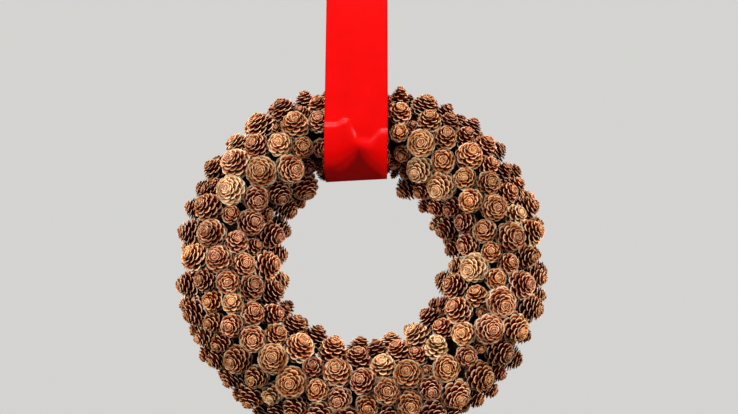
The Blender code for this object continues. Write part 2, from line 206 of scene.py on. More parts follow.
def ribbon_room(balls):
    """How far each ball's centre lies inside the oval in which the ribbon wraps the tube."""
    x = np.clip(balls[..., 0] + RING_CENTRE.x, -RIBBON_WIDTH / 2, RIBBON_WIDTH / 2)
    middle, below = ribbon_wrap(x)
    rise = balls[..., 2] - middle
    depth = np.where(rise < 0, balls[..., 1], np.minimum(balls[..., 1], 0))
    distance = np.maximum(np.hypot(rise, depth), 1e-6)
    oval = distance / np.hypot(rise / np.where(rise < 0, below, RIBBON_WRAP), depth / RIBBON_WRAP)
    return oval + BALL_SPARE - distance


def by_ribbon(balls, reach):
    """Which balls are near enough to the ribbon to touch it."""
    return (np.abs(balls[..., 0] + RING_CENTRE.x) < RIBBON_WIDTH / 2 + reach) & (balls[..., 2] > 0)


def over_ribbon(balls, reach):
    """How far each ball reaches above the place where the ribbon wraps the tube."""
    return np.maximum(reach - ribbon_room(balls), 0) * by_ribbon(balls, reach)


def held_off(balls, reach):
    """How far each ball is moved off the glue, off the ribbon and forward of the wreath's back."""
    distance, away = off_spine(balls)
    low = np.maximum(FORM_RADIUS + BED_THICKNESS + 3 * GAP + reach - distance, 0)
    low[:, 0] = 0
    move = away * (low - over_ribbon(balls, reach))[..., None]
    move[..., 1] -= np.maximum(balls[..., 1] + reach - BACK_LIMIT, 0)
    return move


def scattered(random):
    """Random turns and slopes, spread evenly over the area that the cones cover."""
    draw = random.random((CONES * 3, 3))
    slope = (draw[:, 1] * 2 - 1) * MOST_SLOPE
    middle = RING_RADIUS + (FORM_RADIUS + MEAN_RADIUS) * np.sin(slope)
    kept = np.flatnonzero(draw[:, 2] < middle / (RING_RADIUS + FORM_RADIUS + MEAN_RADIUS))[:CONES]
    return draw[kept, 0] * math.tau, slope[kept]


def most_reach(balls):
    """How far each ball may reach before it meets the ribbon or the wall behind the wreath."""
    room = np.where(by_ribbon(balls, RADIUS_LIMITS[1]), ribbon_room(balls), 1.0)
    return np.minimum(room, BACK_LIMIT - balls[..., 1])


def fitted(foot, tip, radius):
    """Radii brought up or down until each cone just clears its neighbours."""
    first, second = neighbours(balls_of(foot, tip, radius)[0])
    for step in range(FITTING_STEPS):
        balls, reach = balls_of(foot, tip, radius)
        apart, wanted = ways_between(balls, reach, first, second)
        clear = (np.linalg.norm(apart, axis=-1) - wanted).min(axis=(1, 2))
        room = (most_reach(balls) / BALLS[:, 1]).min(axis=1) - radius
        np.minimum.at(room, first, clear)
        np.minimum.at(room, second, clear)
        growth = MOST_GROWTH if step < FITTING_STEPS * GROWING_SHARE else 0
        radius = np.minimum(radius + np.clip(room / 2, -MOST_CUT, growth), RADIUS_LIMITS[1])
    return radius


def filler_places():
    """Feet, tips, lengths and rows of the small cones that are tried, at every place, length and lean."""
    across, along = FILLER_PLACES
    turns = (np.arange(ROWS * across) + 0.5) * ROW_TURN / across
    slopes = np.linspace(-FILLER_SLOPE, FILLER_SLOPE, along)
    turn, slope = (grid.ravel() for grid in np.meshgrid(turns, slopes))
    row = row_at(turn)
    turn, slope = kept_in_row(turn, slope, row, FILLER_RADII[1])
    foot, out = on_form(turn, slope)
    tried = []
    for length in FILLER_LENGTHS:
        for lean in FILLER_LEANS:
            axis = leaned(out, turn, np.tile(lean, (len(turn), 1)))
            tried.append((foot, foot + axis * length, np.full(len(turn), length), row))
    return [np.concatenate(values) for values in zip(*tried)]


def width_beside(tried, balls, reach):
    """How wide a cone with its balls at each tried place can be beside the balls of another."""
    widest = np.full(len(tried), 1.0)
    for share in range(len(BALLS)):
        for ball, radius in zip(balls, reach):
            apart = np.linalg.norm(tried[:, share] - ball, axis=1)
            widest = np.minimum(widest, (apart - radius - SETTLE_GAP) / BALLS[share, 1])
    return widest


def gaps_filled(foot, tip, radius, row):
    """The cones, and a small cone in each of the widest gaps between them."""
    tried_foot, tried_tip, length, tried_row = filler_places()
    tried = balls_of(tried_foot, tried_tip, np.ones(len(length)))[0]
    width = np.minimum((most_reach(tried) / BALLS[:, 1]).min(axis=1), length / LENGTH_SHARES[0])
    width = np.minimum(width, FILLER_RADII[1])
    for balls, reach in zip(*balls_of(foot, tip, radius)):
        near = np.linalg.norm(tried[:, 1] - balls[1], axis=1) < NEARBY
        width[near] = np.minimum(width[near], width_beside(tried[near], balls, reach))
    added = []
    while width.max() > FILLER_RADII[0] and len(added) < MOST_FILLERS:
        best = int(np.argmax(width))
        added.append((tried_foot[best], tried_tip[best], width[best], tried_row[best]))
        width = np.minimum(width, width_beside(tried, tried[best], width[best] * BALLS[:, 1]))
    fillers = (np.array(values) for values in zip(*added))
    return [np.concatenate(pair) for pair in zip((foot, tip, radius, row), fillers)]


def settled_cones():
    """Feet, tips, widest radii and rows of the cones, in the ring's own frame.

    They start at random and push each other apart, the way cones are fitted side by side on a form. One
    that its neighbours press too thin is taken out."""
    random = np.random.default_rng(SEED)
    turn, slope = scattered(random)
    radius = np.clip(random.normal(MEAN_RADIUS, RADIUS_SPREAD, CONES), *RADIUS_LIMITS)
    length = np.minimum(radius * random.uniform(*LENGTH_SHARES, CONES), LONGEST_CONE)
    lean = np.tan(random.normal(0, LEAN_SPREAD, (CONES, 2)))
    row = row_at(turn)
    turn, slope = kept_in_row(turn, slope, row, radius)
    foot, out = on_form(turn, slope)
    tip = foot + leaned(out, turn, lean) * length[:, None]
    share = BALLS[:, 0][None, :, None]
    for step in range(SETTLE_STEPS):
        balls, reach = balls_of(foot, tip, radius)
        if step % COUNTED_EVERY == 0:
            first, second = neighbours(balls)
            if step < SETTLE_STEPS * MOVING_ROWS:
                row = row_at(nearest_place(balls[:, 1])[0])
        move = pushed_apart(balls, reach, first, second) + held_off(balls, reach)
        length = length - SHORTENING * over_ribbon(balls, reach).max(axis=1)
        radius = np.minimum(radius, length / LENGTH_SHARES[0])
        foot = foot + (move * (1 - share)).sum(axis=1) * PUSH_SHARE
        tip = tip + (move * share).sum(axis=1) * PUSH_SHARE
        turn, slope = kept_in_row(*nearest_place(foot), row, radius)
        foot, out = on_form(turn, slope)
        axis = (tip - foot) / length[:, None]
        pull = LEAN_PULL * (1 - step / SETTLE_STEPS)
        axis += pull * (leaned(out, turn, lean) - axis)
        tip = foot + lean_limited(axis, out) * length[:, None]
    radius = fitted(foot, tip, radius)
    wide = radius > FILLER_RADII[0]
    foot, tip, radius, row = (values[wide] for values in (foot, tip, radius, row))
    return gaps_filled(foot, tip, fitted(foot, tip, radius), row)


# One cone of unit radius: the line that its scales' tips follow, as (height, radius) from the foot up, and
# how far each scale leans from the cone's axis, as (height, degrees).
CONE_HEIGHT = 2.33
TIP_LINE = (
    (0.34, 0.74), (0.62, 0.97), (0.95, 1.03), (1.30, 0.98), (1.62, 0.88),
    (1.88, 0.72), (2.08, 0.53), (2.22, 0.33), (2.31, 0.15), (2.33, 0.04),
)
TIP_LEAN = (
    (0.34, 100), (0.62, 88), (0.95, 76), (1.30, 66), (1.62, 57),
    (1.90, 46), (2.12, 30), (2.26, 12), (2.33, 0),
)
CONE_KINDS = 8
KIND_SEED = 100
SCALES = 70  # on a cone of the first kind
FEWER_SCALES = 4  # on each kind than on the one before it
GOLDEN_TURN = math.pi * (3 - math.sqrt(5))
OPENING = (-9, 8)  # degrees added to all the leans of one kind
TIP_SPREAD = (0.015, 0.018)  # of the tips' heights and radii
LEAN_WANDER = 4  # spread of one scale's lean, in degrees
ROLL_SPREAD = 0.10
TURN_SPREAD = 0.05
SCALE_LENGTH = (0.26, 0.46)  # of a scale at the cone's axis, and how much more at unit radius
SCALE_WIDTH = (0.30, 0.40)
CORE_SHARE = 0.62  # of the core's radius to that of the scales' tips
CORE_HEIGHT = 0.97  # share of the cone's

# One scale of unit length, flat as it grows out of its root: half widths and places along it.
ACROSS, ALONG = 4, 2  # its faces across and along it
ROOT_HALF = 0.15
MIDDLE_HALF, MIDDLE_AT, MIDDLE_BOW = 0.42, 0.60, 0.08
END_HALF, END_AT, END_DEPTH = 0.44, 0.70, 0.30
END_ANGLE = math.radians(68)  # from the middle of its rounded end to a corner
CUP = 0.85  # how strongly it is hollowed across
TIP_CURL = 0.24  # how far its end turns out
SCALE_THICKNESS = 0.06

CELLS = 9  # scales across a cone's share of its map
GROUP_ROWS = 2  # rows of cones in one piece
GROUP_SEED = 21
CONE_SPREAD = 1.09  # the tips of neighbouring cones' scales reach past each other


def select_only(*objs):
    bpy.ops.object.select_all(action="DESELECT")
    for obj in objs:
        obj.select_set(True)
    bpy.context.view_layer.objects.active = objs[0]


def named(name):
    """The mesh object that has just been made, under its own name."""
    obj = bpy.context.object
    obj.name = obj.data.name = name
    return obj


def joined(objs, name):
    """The objects made one, with the first one's mesh."""
    select_only(*objs)
    bpy.ops.object.join()
    return named(name)


def taken_off(obj):
    """The object's mesh, kept to be copied, without the object."""
    mesh = obj.data
    bpy.data.objects.remove(obj)
    return mesh


def copied(mesh, matrix):
    obj = bpy.data.objects.new(mesh.name, mesh.copy())
    obj.data.transform(matrix)
    bpy.context.scene.collection.objects.link(obj)
    return obj


def fill(mesh, **values):
    """Numbers at each point of a mesh, for its material to read by their names."""
    for name, numbers in values.items():
        layer = mesh.attributes.get(name) or mesh.attributes.new(name, "FLOAT", "POINT")
        layer.data.foreach_set("value", np.broadcast_to(np.float32(numbers), len(mesh.vertices)).copy())


def thickened(obj, thickness, offset):
    wall = obj.modifiers.new("Thickness", "SOLIDIFY")
    wall.thickness = thickness
    wall.offset = offset
    select_only(obj)
    bpy.ops.object.modifier_apply(modifier="Thickness")


def faces_out(obj, merge=0.0):
    """Turns the faces outwards, once points nearer to each other than the merge are made one."""
    select_only(obj)
    bpy.ops.object.mode_set(mode="EDIT")
    bpy.ops.mesh.select_all(action="SELECT")
    if merge:
        bpy.ops.mesh.remove_doubles(threshold=merge)
    bpy.ops.mesh.normals_make_consistent(inside=False)
    bpy.ops.object.mode_set(mode="OBJECT")


def finished(piece, material):
    """A piece of the wreath in its one material."""
    piece.data.materials.clear()
    piece.data.materials.append(material)
    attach(piece, "root")


def own_map(mesh):
    """The places on the mesh's one map, to be filled in."""
    while mesh.uv_layers:
        mesh.uv_layers.remove(mesh.uv_layers[0])
    return mesh.uv_layers.new(name="OFBake").data


def in_cell(mesh, cell, across):
    """Moves a mesh's share of the map into one cell of a grid of them."""
    places = np.empty(len(mesh.loops) * 2, np.float32)
    layer = mesh.uv_layers["OFBake"].data
    layer.foreach_get("uv", places)
    places = (places.reshape(-1, 2) + (cell % across, cell // across)) / across
    layer.foreach_set("uv", places.astype(np.float32).ravel())


def scale_blank():
    """One woody scale: its root at the origin, its rounded end towards +Y and its hollow inner face up."""
    bpy.ops.mesh.primitive_grid_add(x_subdivisions=ACROSS, y_subdivisions=ALONG, size=2)
    scale = bpy.context.object
    along = []
    for vertex in scale.data.vertices:
        u, v = vertex.co.x, (vertex.co.y + 1) / 2
        row = round(v * ALONG)
        if row == ALONG:
            x, y = END_HALF * math.sin(u * END_ANGLE), END_AT + END_DEPTH * math.cos(u * END_ANGLE)
        elif row:
            x, y = MIDDLE_HALF * u, MIDDLE_AT - MIDDLE_BOW * u * u
        else:
            x, y = ROOT_HALF * u, 0.0
        vertex.co = (x, y, CUP * x * x - TIP_CURL * max(v - 0.5, 0))
        along.append(v * (1.12 - 0.12 * v) - 0.05 * v * u * u)  # so that the cream rim follows the edge
    fill(scale.data, along=along)
    thickened(scale, SCALE_THICKNESS, 0)
    bpy.ops.object.shade_smooth_by_angle(angle=math.radians(50))
    lay_out_scale(scale.data)
    return taken_off(scale)


def lay_out_scale(mesh):
    """The scale's own map: its inner face on the left, its outer face on the right, its edge above them."""
    margin, face_wide, face_high, edge_foot, edge_high = 0.04, 0.42, 0.80, 0.90, 0.06
    layer = own_map(mesh)
    faces = ACROSS * ALONG
    edges = len(mesh.polygons) - 2 * faces
    per_side = (ACROSS + 1) * (ALONG + 1)
    for face in mesh.polygons:
        for corner, loop in enumerate(face.loop_indices):
            point = mesh.loops[loop].vertex_index % per_side
            u, v = point % (ACROSS + 1) / ACROSS, point // (ACROSS + 1) / ALONG
            if face.index < 2 * faces:
                place = (margin + face_wide * u + 0.5 * (face.index >= faces), margin + face_high * v)
            else:
                share = (face.index - 2 * faces + (corner in (1, 2))) / edges
                place = (margin + (1 - 2 * margin) * share, edge_foot + edge_high * (corner > 1))
            layer[loop].uv = place


def tips_along(count):
    """Heights and radii of the scales' tips, evenly along the line that they follow."""
    line = np.array(TIP_LINE)
    run = np.concatenate([[0], np.cumsum(np.linalg.norm(np.diff(line, axis=0), axis=1))])
    places = (np.arange(count) + 0.5) / count * run[-1]
    return np.interp(places, run, line[:, 0]), np.interp(places, run, line[:, 1])


def cone_kind(kind, blank):
    """A cone of unit radius, its foot at the origin and its tip up: scales set round a core in a spiral,
    each turned by the golden angle from the one below it."""
    random = np.random.default_rng(KIND_SEED + kind)
    lean_heights, leans = zip(*TIP_LEAN)
    open_by = random.uniform(*OPENING)
    parts = []
    for k, (height, radius) in enumerate(zip(*tips_along(SCALES - kind * FEWER_SCALES))):
        height += random.normal(0, TIP_SPREAD[0])
        radius += random.normal(0, TIP_SPREAD[1])
        lean = np.interp(height, lean_heights, leans) + open_by + random.normal(0, LEAN_WANDER)
        length, wide = (least + more * radius for least, more in (SCALE_LENGTH, SCALE_WIDTH))
        out, up = math.sin(math.radians(lean)), math.cos(math.radians(lean))
        root = Vector((radius - length * out, 0, height - length * up))
        turned = Matrix(((0, out, -up), (-1, 0, 0), (0, up, out))).to_4x4()
        rolled = Matrix.Rotation(random.normal(0, ROLL_SPREAD), 4, "Y")
        size = Matrix.Diagonal((wide, length, (wide + length) / 2, 1))
        matrix = Matrix.Rotation(k * GOLDEN_TURN + random.normal(0, TURN_SPREAD), 4, "Z")
        scale = copied(blank, matrix @ Matrix.Translation(root) @ turned @ rolled @ size)
        fill(scale.data, tone=random.random(), height=height / CONE_HEIGHT)
        in_cell(scale.data, k, CELLS)
        parts.append(scale)
    parts.append(cone_core())
    return taken_off(joined(parts, f"cone_{kind}"))


def cone_core():
    """The middle of a cone, which the scales grow from: near black below its pale tip, in the scales'
    painted shade.
    """
    bpy.ops.mesh.primitive_uv_sphere_add(segments=10, ring_count=6, radius=1)
    core = bpy.context.object
    heights, radii = zip(*TIP_LINE)
    for vertex in core.data.vertices:
        z = (vertex.co.z + 1) / 2 * CONE_HEIGHT * CORE_HEIGHT
        beside = math.hypot(vertex.co.x, vertex.co.y)
        pole = abs(vertex.co.z) > 0.999
        spread = 0 if pole else CORE_SHARE * np.interp(z, heights, radii) / beside
        vertex.co = (vertex.co.x * spread, vertex.co.y * spread, z)
    layer = own_map(core.data)
    for loop in core.data.loops:
        point = core.data.vertices[loop.vertex_index].co
        layer[loop.index].uv = (0.5 + 0.3 * point.x, 0.1 + 0.3 * point.z)
    heights = [vertex.co.z / CONE_HEIGHT for vertex in core.data.vertices]
    # Below the pale tip the core takes the scales' root colour, the near-black painted shade.
    pale_tip = [0.92 if height > 0.9 else 0 for height in heights]
    fill(core.data, along=pale_tip, height=heights, tone=0.5)
    in_cell(core.data, CELLS * CELLS - 1, CELLS)
    bpy.ops.object.shade_smooth()
    return core


def stood_up(axis, turn):
    """The turn that points a thing's top along an axis, after the thing is turned about its own height."""
    return axis.to_track_quat("Z", "Y").to_matrix().to_4x4() @ Matrix.Rotation(turn, 4, "Z")


def cone_groups(feet, tips, radii, rows, material):
    """The cones, a piece for each pair of neighbouring rows."""
    blank = scale_blank()
    kinds = [cone_kind(kind, blank) for kind in range(CONE_KINDS)]
    random = np.random.default_rng(GROUP_SEED)
    smallness = np.argsort(np.argsort(-radii)) / len(radii)
    for group in range(ROWS // GROUP_ROWS):
        members = np.flatnonzero(rows // GROUP_ROWS == group)
        across = math.ceil(math.sqrt(len(members)))
        cones = []
        for place, i in enumerate(members):
            axis = Vector(tips[i] - feet[i])
            turned = stood_up(axis, random.uniform(0, math.tau))
            wide = radii[i] * CONE_SPREAD
            size = Matrix.Diagonal((wide, wide, axis.length / CONE_HEIGHT, 1))
            matrix = Matrix.Translation(RING_CENTRE + Vector(feet[i])) @ turned @ size
            kind = np.clip(smallness[i] * CONE_KINDS + random.uniform(-1, 1), 0, CONE_KINDS - 1)
            cone = copied(kinds[int(kind)], matrix)
            fill(cone.data, warmth=random.random(), paleness=random.random())
            in_cell(cone.data, place, across)
            cones.append(cone)
        piece = joined(cones, f"cones_{group + 1:02d}")
        finished(piece, material)
        names = [f"cone_row_{group * GROUP_ROWS + row + 1:02d}" for row in range(GROUP_ROWS)]
        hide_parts(*names)


# Hot glue: a blob round the foot of each cone.
GLUE_KINDS = 4
GLUE_KIND_SEED, GLUE_SEED = 60, 33
GLUE_SPREAD = 0.66  # of a blob, as a share of its cone's radius
GLUE_HEIGHT = 0.0034  # of a blob above the foam
GLUE_LOBES = ((3, 0.13), (5, 0.09))  # how many bulge out of a blob's edge, and how far
GLUE_SKIRT = 0.35  # height under which a blob spreads, and how strongly it does
GLUE_UNEVEN = ((0.9, 1.15), (0.8, 1.1))  # shares of the usual width and height that one blob has
GLUE_FOOT = -0.3  # of a blob, below the foam's face


def glue_blob(kind):
    """A squashed drop of unit radius, flat below and uneven at its edge."""
    bpy.ops.mesh.primitive_ico_sphere_add(subdivisions=2, radius=1)
    blob = bpy.context.object
    starts = np.random.default_rng(GLUE_KIND_SEED + kind).uniform(0, math.tau, len(GLUE_LOBES))
    for vertex in blob.data.vertices:
        turn = math.atan2(vertex.co.y, vertex.co.x)
        waves = (far * math.sin(lobes * turn + start) for (lobes, far), start in zip(GLUE_LOBES, starts))
        spread = (1 + sum(waves)) * (1 + GLUE_SKIRT * max(0.0, GLUE_SKIRT - vertex.co.z))
        vertex.co = (vertex.co.x * spread, vertex.co.y * spread, max(vertex.co.z, GLUE_FOOT))
    bpy.ops.object.shade_smooth()
    blob.data.uv_layers[0].name = "OFBake"
    return taken_off(blob)


def make_glue(feet, radii, material):
    """The blobs of glue, each at the foot of a cone and square to the foam there."""
    kinds = [glue_blob(kind) for kind in range(GLUE_KINDS)]
    random = np.random.default_rng(GLUE_SEED)
    across = math.ceil(math.sqrt(len(feet)))
    blobs = []
    for i, (foot, radius) in enumerate(zip(feet, radii)):
        wide = radius * GLUE_SPREAD * random.uniform(*GLUE_UNEVEN[0])
        turned = stood_up(Vector(off_spine(foot)[1]), random.uniform(0, math.tau))
        size = Matrix.Diagonal((wide, wide, GLUE_HEIGHT * random.uniform(*GLUE_UNEVEN[1]), 1))
        matrix = Matrix.Translation(RING_CENTRE + Vector(foot)) @ turned @ size
        blob = copied(kinds[i % GLUE_KINDS], matrix)
        in_cell(blob.data, i, across)
        blobs.append(blob)
    finished(joined(blobs, "hot_glue"), material)


# The foam ring's wrap: one long tape, wound round the tube so that each turn laps over the one before it.
TAPE_TURNS = 38
TAPE_SEED = 5
TAPE_PLACES = (0.0, 0.05, 0.30, 0.60, 0.85, 0.97)  # of the mesh's columns across one turn
TAPE_LIFT = (1.0, 0.0, 0.10, 0.32, 0.78, 1.0)  # of the tape at those places, as a share of its step
TAPE_STEP = 0.0005  # thickness of a lapped edge
TAPE_SUNK = 0.0001  # of the highest edge below the solid's face
TAPE_SLANT = 0.45  # of one turn, between the middle of the back and its rim
SLANT_SHARES = (0.8, 1.2)  # of that, from turn to turn
TAPE_SLACK = 0.16  # how unevenly the turns are spaced
CORNER_ROUNDING = 0.36  # how far the chamfer's middle is drawn in, as a share of the chamfer


def tube_outline():
    """Points round the tube, from the middle of its front, as (out, back) from the tube's own middle."""
    quarter = np.radians(np.linspace(-90, 0, 8))
    outer = [(FORM_RADIUS * math.cos(angle), FORM_RADIUS * math.sin(angle)) for angle in quarter]
    rounding = FORM_CHAMFER * CORNER_ROUNDING
    outer += [(FORM_RADIUS, FORM_BACK * 0.5), (FORM_RADIUS, FORM_BACK - FORM_CHAMFER)]
    outer += [(FORM_RADIUS - rounding, FORM_BACK - rounding)]
    outer += [(out, FORM_BACK) for out in np.linspace(FORM_RADIUS - FORM_CHAMFER, 0, 7)]
    inner = [(-out, back) for out, back in outer[-2:0:-1]]
    return np.array(outer + inner)


def make_wrapped_ring(material):
    """The foam ring in its wrap: a torus brought to the tube's outline, with a step at each turn's edge."""
    outline = tube_outline()
    run = np.roll(outline, -1, axis=0) - np.roll(outline, 1, axis=0)
    facing = np.column_stack([run[:, 1], -run[:, 0]]) / np.linalg.norm(run, axis=1)[:, None]
    wound = np.concatenate([[0], np.cumsum(np.linalg.norm(np.diff(outline, axis=0), axis=1))])
    columns, around = TAPE_TURNS * len(TAPE_PLACES), len(outline)
    random = np.random.default_rng(TAPE_SEED)
    starts = np.arange(TAPE_TURNS) + TAPE_SLACK * random.uniform(-1, 1, TAPE_TURNS)
    starts = np.append(starts, starts[0] + TAPE_TURNS)
    slants = TAPE_SLANT * random.uniform(*SLANT_SHARES, TAPE_TURNS)
    slants = np.append(slants, slants[0])
    tones = random.random(TAPE_TURNS)
    bpy.ops.mesh.primitive_torus_add(
        major_segments=columns, minor_segments=around, major_radius=RING_RADIUS, minor_radius=FORM_RADIUS
    )
    ring = named("wrapped_ring")
    tone, tape, length = [], [], []
    for vertex in ring.data.vertices:
        column, place = divmod(vertex.index, around)
        turn, across = divmod(column, len(TAPE_PLACES))
        share = TAPE_PLACES[across]
        slant = slants[turn] + share * (slants[turn + 1] - slants[turn])
        start = starts[turn] + share * (starts[turn + 1] - starts[turn])
        out, back = outline[place] + facing[place] * (TAPE_STEP * (TAPE_LIFT[across] - 1) - TAPE_SUNK)
        wraps = (start + slant * outline[place][0] / FORM_RADIUS) / TAPE_TURNS
        angle = math.pi / 2 - wraps * math.tau
        reach = RING_RADIUS + out
        vertex.co = RING_CENTRE + Vector((reach * math.cos(angle), back, reach * math.sin(angle)))
        tone.append(tones[turn])
        tape.append(share)
        length.append(wound[place])
    fill(ring.data, tone=tone, tape=tape, length=length)
    lay_out_ring(ring.data, columns, around)
    faces_out(ring)
    bpy.ops.object.shade_smooth_by_angle(angle=math.radians(35))
    finished(ring, material)
    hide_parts("ring_form")


def lay_out_ring(mesh, columns, around):
    """The ring's own map: unrolled along the wreath and round its tube."""
    layer = own_map(mesh)
    for face in mesh.polygons:
        places = [divmod(mesh.loops[loop].vertex_index, around) for loop in face.loop_indices]
        last_column = max(column for column, _ in places) == columns - 1
        last_place = max(place for _, place in places) == around - 1
        for loop, (column, place) in zip(face.loop_indices, places):
            column += columns if last_column and column == 0 else 0
            place += around if last_place and place == 0 else 0
            layer[loop].uv = (column / columns, place / around)


# The ribbon. A fold puffs out where it turns over the cones and dips between two of them. Lines across it
# are (share of the half width, distance along it past the place where it first meets the wreath): the lip
# of the crossways fold, where the ribbon turns under the wreath, and where it lies flat again.
RIBBON_ACROSS = 48  # faces across the ribbon
RIBBON_LENGTHWISE = 0.0012  # between the points of the mesh where it folds
LOOP_THICKNESS = RIBBON_THICKNESS * 0.7  # of the satin in the space that its solid has
LIP_LINE = (
    (-1.0, 0.0106), (-0.65, 0.0136), (-0.38, 0.0104), (-0.28, 0.0120), (-0.04, 0.0276),
    (0.10, 0.0296), (0.45, 0.0306), (0.81, 0.0208), (1.0, 0.0196),
)
TURN_LINE = (
    (-1.0, 0.045), (-0.6, 0.046), (-0.4, 0.044), (0.0, 0.0352),
    (0.12, 0.0345), (0.3, 0.038), (0.6, 0.046), (1.0, 0.053),
)
REST_LINE = ((-1.0, 0.080), (0.12, 0.060), (1.0, 0.080))
DIP = 0.12  # share of the half width at which the fold dips deepest
LIP_WIDTH = 0.0076  # of the step that the fold makes
LIP_HEIGHTS = (
    (-1.0, 0.0026), (-0.38, 0.0026), (0.0, 0.0041), (0.45, 0.0044), (0.81, 0.0030), (1.0, 0.0027),
)
# How many degrees the ribbon leans from upright at shares of the way to where it turns under.
FRONT_SLANTS = ((0.18, 11), (0.45, 9), (0.78, 2), (1.0, -15))
FLATTENING = 1.5  # power of the share by which the fold sinks back to the plain wrap
CORNER_SPREAD = 0.07  # over which a line's corners are rounded
LIP_BLUR = 0.7  # of the threads at the lip, in steps of the mesh
BELOW_BLUR = (1.5, 4.0)  # below it: at the dip, and well aside of it
BLUR_SIDE = 0.6  # how far aside, as a share of the half width
BLUR_GROWTH = 0.006  # distance below the lip's step in which the blur grows
# Shares of its half width that the ribbon's right edge is drawn in by the fold: over the hook, at the first
# touch, part of the way round the wrap and at its end, behind the wreath's top, and back at the hook.
GATHERS = (0, 0.039, 0.065, 0.065, 0.01, 0)
GATHERED_AT = 0.35  # of the way round the wrap
HOOK_STEPS, FRONT_STEPS, UNDER_STEPS, BEHIND_STEPS, BACK_STEPS = 24, 44, 6, 16, 50  # points of a thread
SATIN_SHADE = math.radians(60)  # sharper edges stay sharp


def smooth(share):
    share = np.clip(share, 0, 1)
    return share * share * (3 - 2 * share)


def eased(line, across):
    """The height of a line of points at one place, with the line's corners rounded."""
    places = across + np.linspace(-CORNER_SPREAD, CORNER_SPREAD, 9)
    return float(np.interp(places, *zip(*line)).mean())


def blurred(values, width):
    """Values along a thread, each made the mean of those round it, out to a width in steps."""
    reach = np.arange(-3 * math.ceil(width), 3 * math.ceil(width) + 1)
    weights = np.exp(-((reach / width) ** 2) / 2)
    edged = np.pad(values, len(reach) // 2, mode="edge")
    return np.convolve(edged, weights / weights.sum(), mode="valid")


def below_lip(across, past):
    """How far each place along a thread lies below the fold's lip, square to it."""
    corners = np.array([(side * RIBBON_WIDTH / 2, distance) for side, distance in LIP_LINE])
    places = np.stack([np.full_like(past, across * RIBBON_WIDTH / 2), past], axis=1)
    nearest = np.full_like(past, RIBBON_WIDTH)
    for first, second in zip(corners[:-1], corners[1:]):
        run = second - first
        share = np.clip((places - first) @ run / (run @ run), 0, 1)
        nearest = np.minimum(nearest, np.linalg.norm(places - first - share[:, None] * run, axis=1))
    return np.where(past > np.interp(places[0, 0], *corners.T), nearest, -nearest)


def puff(across, past):
    """How far the ribbon stands off its plain wrap, at one place across it and distances past the first
    touch."""
    turn, rest = eased(TURN_LINE, across), eased(REST_LINE, across)
    lean = math.degrees(front_lean())
    places = [0.0] + [share * turn for share, slant in FRONT_SLANTS]
    slants = [lean] + [slant for share, slant in FRONT_SLANTS]
    plain = lean - np.degrees(past / RIBBON_WRAP)
    rise = np.tan(np.radians(np.interp(past, places, slants) - plain)) * (past < turn)
    past_lip = below_lip(across, past)
    out = np.cumsum(rise) * RIBBON_LENGTHWISE
    out += eased(LIP_HEIGHTS, across) * smooth(past_lip / LIP_WIDTH + 0.5)
    out = out * (1 - np.clip((past - turn) / (rest - turn), 0, 1)) ** FLATTENING
    width = np.interp(abs(across - DIP), (0, BLUR_SIDE), BELOW_BLUR)
    crisp, soft = blurred(out, LIP_BLUR), blurred(out, width)
    return crisp + (soft - crisp) * smooth((past_lip - LIP_WIDTH / 2) / BLUR_GROWTH)


def front_lean():
    """How far the ribbon's front leans from upright, to come tangent off the wreath."""
    return math.asin((RIBBON_WRAP - RIBBON_FOLD) / (-RIBBON_FOLD - RING_CENTRE.z - RING_RADIUS))


def ribbon_line(across):
    """One thread of the loop at a share of its half width: over the hook, down the front, round the tube
    with its folds, and up the back, as (x, y, z) rows."""
    x = across * RIBBON_WIDTH / 2
    middle, below = ribbon_wrap(x)
    lean = front_lean()
    corner = FORM_RADIUS - FORM_CHAMFER
    back_depth = FORM_BACK + GAP
    back_lean = math.atan2(back_depth - RIBBON_FOLD, -RIBBON_FOLD - RING_CENTRE.z - RING_RADIUS - corner)
    over = np.linspace(back_lean, math.pi - lean, HOOK_STEPS)
    hook = np.stack([RIBBON_FOLD * np.cos(over), RIBBON_FOLD * (np.sin(over) - 1)], axis=1)
    last = -math.pi / 2 - math.atan2(FORM_BACK, RIBBON_WRAP)
    past = np.arange(0, (lean - last) * RIBBON_WRAP, RIBBON_LENGTHWISE)
    angle = lean - past / RIBBON_WRAP
    proud = puff(across, past)
    reach = np.where(angle > 0, RIBBON_WRAP, below) + proud
    rise = RING_CENTRE.z + middle + reach * np.sin(angle)
    wrap = np.stack([-(RIBBON_WRAP + proud) * np.cos(angle), rise], axis=1)
    front = np.linspace(hook[-1], wrap[0], FRONT_STEPS)[1:-1]
    rims = RING_RADIUS + np.array((-corner, corner))
    rims = RING_CENTRE.z + np.sqrt(rims**2 - (x - RING_CENTRE.x) ** 2)
    foot, head = ((back_depth, height) for height in rims)
    under = np.linspace(wrap[-1], foot, UNDER_STEPS)[1:]
    behind = np.linspace(foot, head, BEHIND_STEPS)[1:]
    up = np.linspace(head, hook[0], BACK_STEPS)[1:]
    line = np.concatenate([hook, front, wrap, under, behind, up])
    before, wrapped, steps = len(hook) + len(front), len(wrap), len(line)
    places = (0, before, before + wrapped * GATHERED_AT, before + wrapped, steps - BACK_STEPS, steps)
    drawn_in = np.interp(np.arange(steps), places, GATHERS)
    return np.column_stack([x * (1 - drawn_in * (1 + across) / 2), line])


